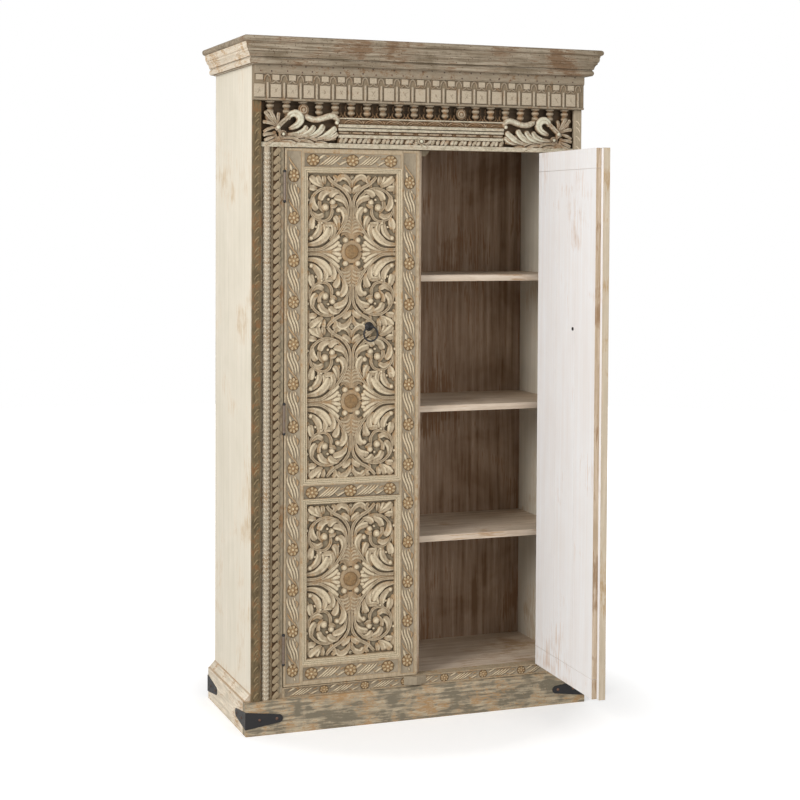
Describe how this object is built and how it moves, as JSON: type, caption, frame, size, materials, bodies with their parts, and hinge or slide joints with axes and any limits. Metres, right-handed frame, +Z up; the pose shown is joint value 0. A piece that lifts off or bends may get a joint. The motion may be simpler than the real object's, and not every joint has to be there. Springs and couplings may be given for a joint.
{
  "type": "carved two-door storage cabinet",
  "caption": "Tall whitewashed wooden cabinet with two carved panel doors, ring pulls, inner shelves, a turned baluster frieze, moulded cornice and iron-cornered plinth.",
  "frame": {"origin": "floor level, at the middle of the plinth's footprint", "axes": "+Z up, -Y towards the doors' face, +X to the right of a person facing the doors"},
  "size_m": [1.182, 0.8838, 2.1],
  "materials": {
    "carved_wood": "matte whitewash rubbed back to ochre and grey on carved wood",
    "side_wood": "matte cream whitewash with faint ochre streaks",
    "plinth_wood": "matte grey paint scraped to cream and ochre",
    "inside_wood": "matte brown wash with greyish streaks",
    "door_inside_wood": "matte thin whitewash with tan grain showing",
    "black_iron": "black painted forged iron, satin",
    "rusty_nail": "rusty brown hammered nail heads",
    "hinge_steel": "steel with worn whitewash and dark ball ends"
  },
  "bodies": {
    "cabinet": {"back_boards": "inside_wood", "balusters": "carved_wood", "base_mouldings": "plinth_wood", "carcass_ceiling": "inside_wood", "carcass_floor": "inside_wood", "carved_header": "carved_wood", "corner_iron_nails": "rusty_nail", "corner_irons": "black_iron", "corner_posts": "carved_wood", "cornice_mouldings": "carved_wood", "cornice_slab": "carved_wood", "door_stop": "inside_wood", "face_stile_left": "carved_wood", "face_stile_right": "carved_wood", "frieze_board": "carved_wood", "half_columns": "carved_wood", "header_boss": "carved_wood", "header_rail": "carved_wood", "hinge_frame_leaves": "hinge_steel", "hinge_pins": "hinge_steel", "plinth_back": "plinth_wood", "plinth_bearer": "plinth_wood", "plinth_front": "plinth_wood", "plinth_sides": "plinth_wood", "rope_strips": "carved_wood", "scroll_brackets": "carved_wood", "shelf_lower": "inside_wood", "shelf_middle": "inside_wood", "shelf_upper": "inside_wood", "side_panel_left": "side_wood", "side_panel_right": "side_wood", "sill_block": "carved_wood", "sill_rail": "carved_wood"},
    "left_door": {"left_door_backing": "door_inside_wood", "left_door_bottom_rail": "carved_wood", "left_door_hinge_leaves": "hinge_steel", "left_door_hinge_stile": "carved_wood", "left_door_lock_rail": "carved_wood", "left_door_lower_panel": "carved_wood", "left_door_meeting_stile": "carved_wood", "left_door_mouldings": "carved_wood", "left_door_pull_nut": "black_iron", "left_door_pull_rose": "black_iron", "left_door_top_rail": "carved_wood", "left_door_upper_panel": "carved_wood"},
    "right_door": {"right_door_backing": "door_inside_wood", "right_door_bottom_rail": "carved_wood", "right_door_hinge_leaves": "hinge_steel", "right_door_hinge_stile": "carved_wood", "right_door_lock_rail": "carved_wood", "right_door_lower_panel": "carved_wood", "right_door_meeting_stile": "carved_wood", "right_door_mouldings": "carved_wood", "right_door_pull_nut": "black_iron", "right_door_pull_rose": "black_iron", "right_door_top_rail": "carved_wood", "right_door_upper_panel": "carved_wood"},
    "left_ring": {"left_door_pull_ring": "black_iron"},
    "right_ring": {"right_door_pull_ring": "black_iron"}
  },
  "joints": [
    {"name": "left_door_hinge", "type": "hinge", "parent": "cabinet", "child": "left_door", "pos_m": [-0.444, -0.205, 0.953], "axis": [0, 0, 1], "range_deg": [-150, 0]},
    {"name": "right_door_hinge", "type": "hinge", "parent": "cabinet", "child": "right_door", "pos_m": [0.444, -0.205, 0.953], "axis": [0, 0, 1], "range_deg": [-87.5, 62.5]},
    {"name": "left_ring_swing", "type": "hinge", "parent": "left_door", "child": "left_ring", "pos_m": [-0.168, -0.21, 1.229], "axis": [-1, 0, 0], "range_deg": [0, 150]},
    {"name": "right_ring_swing", "type": "hinge", "parent": "right_door", "child": "right_ring", "pos_m": [0.43696, -0.48096, 1.229], "axis": [-0.0436, -0.999, 0], "range_deg": [0, 150]}
  ]
}
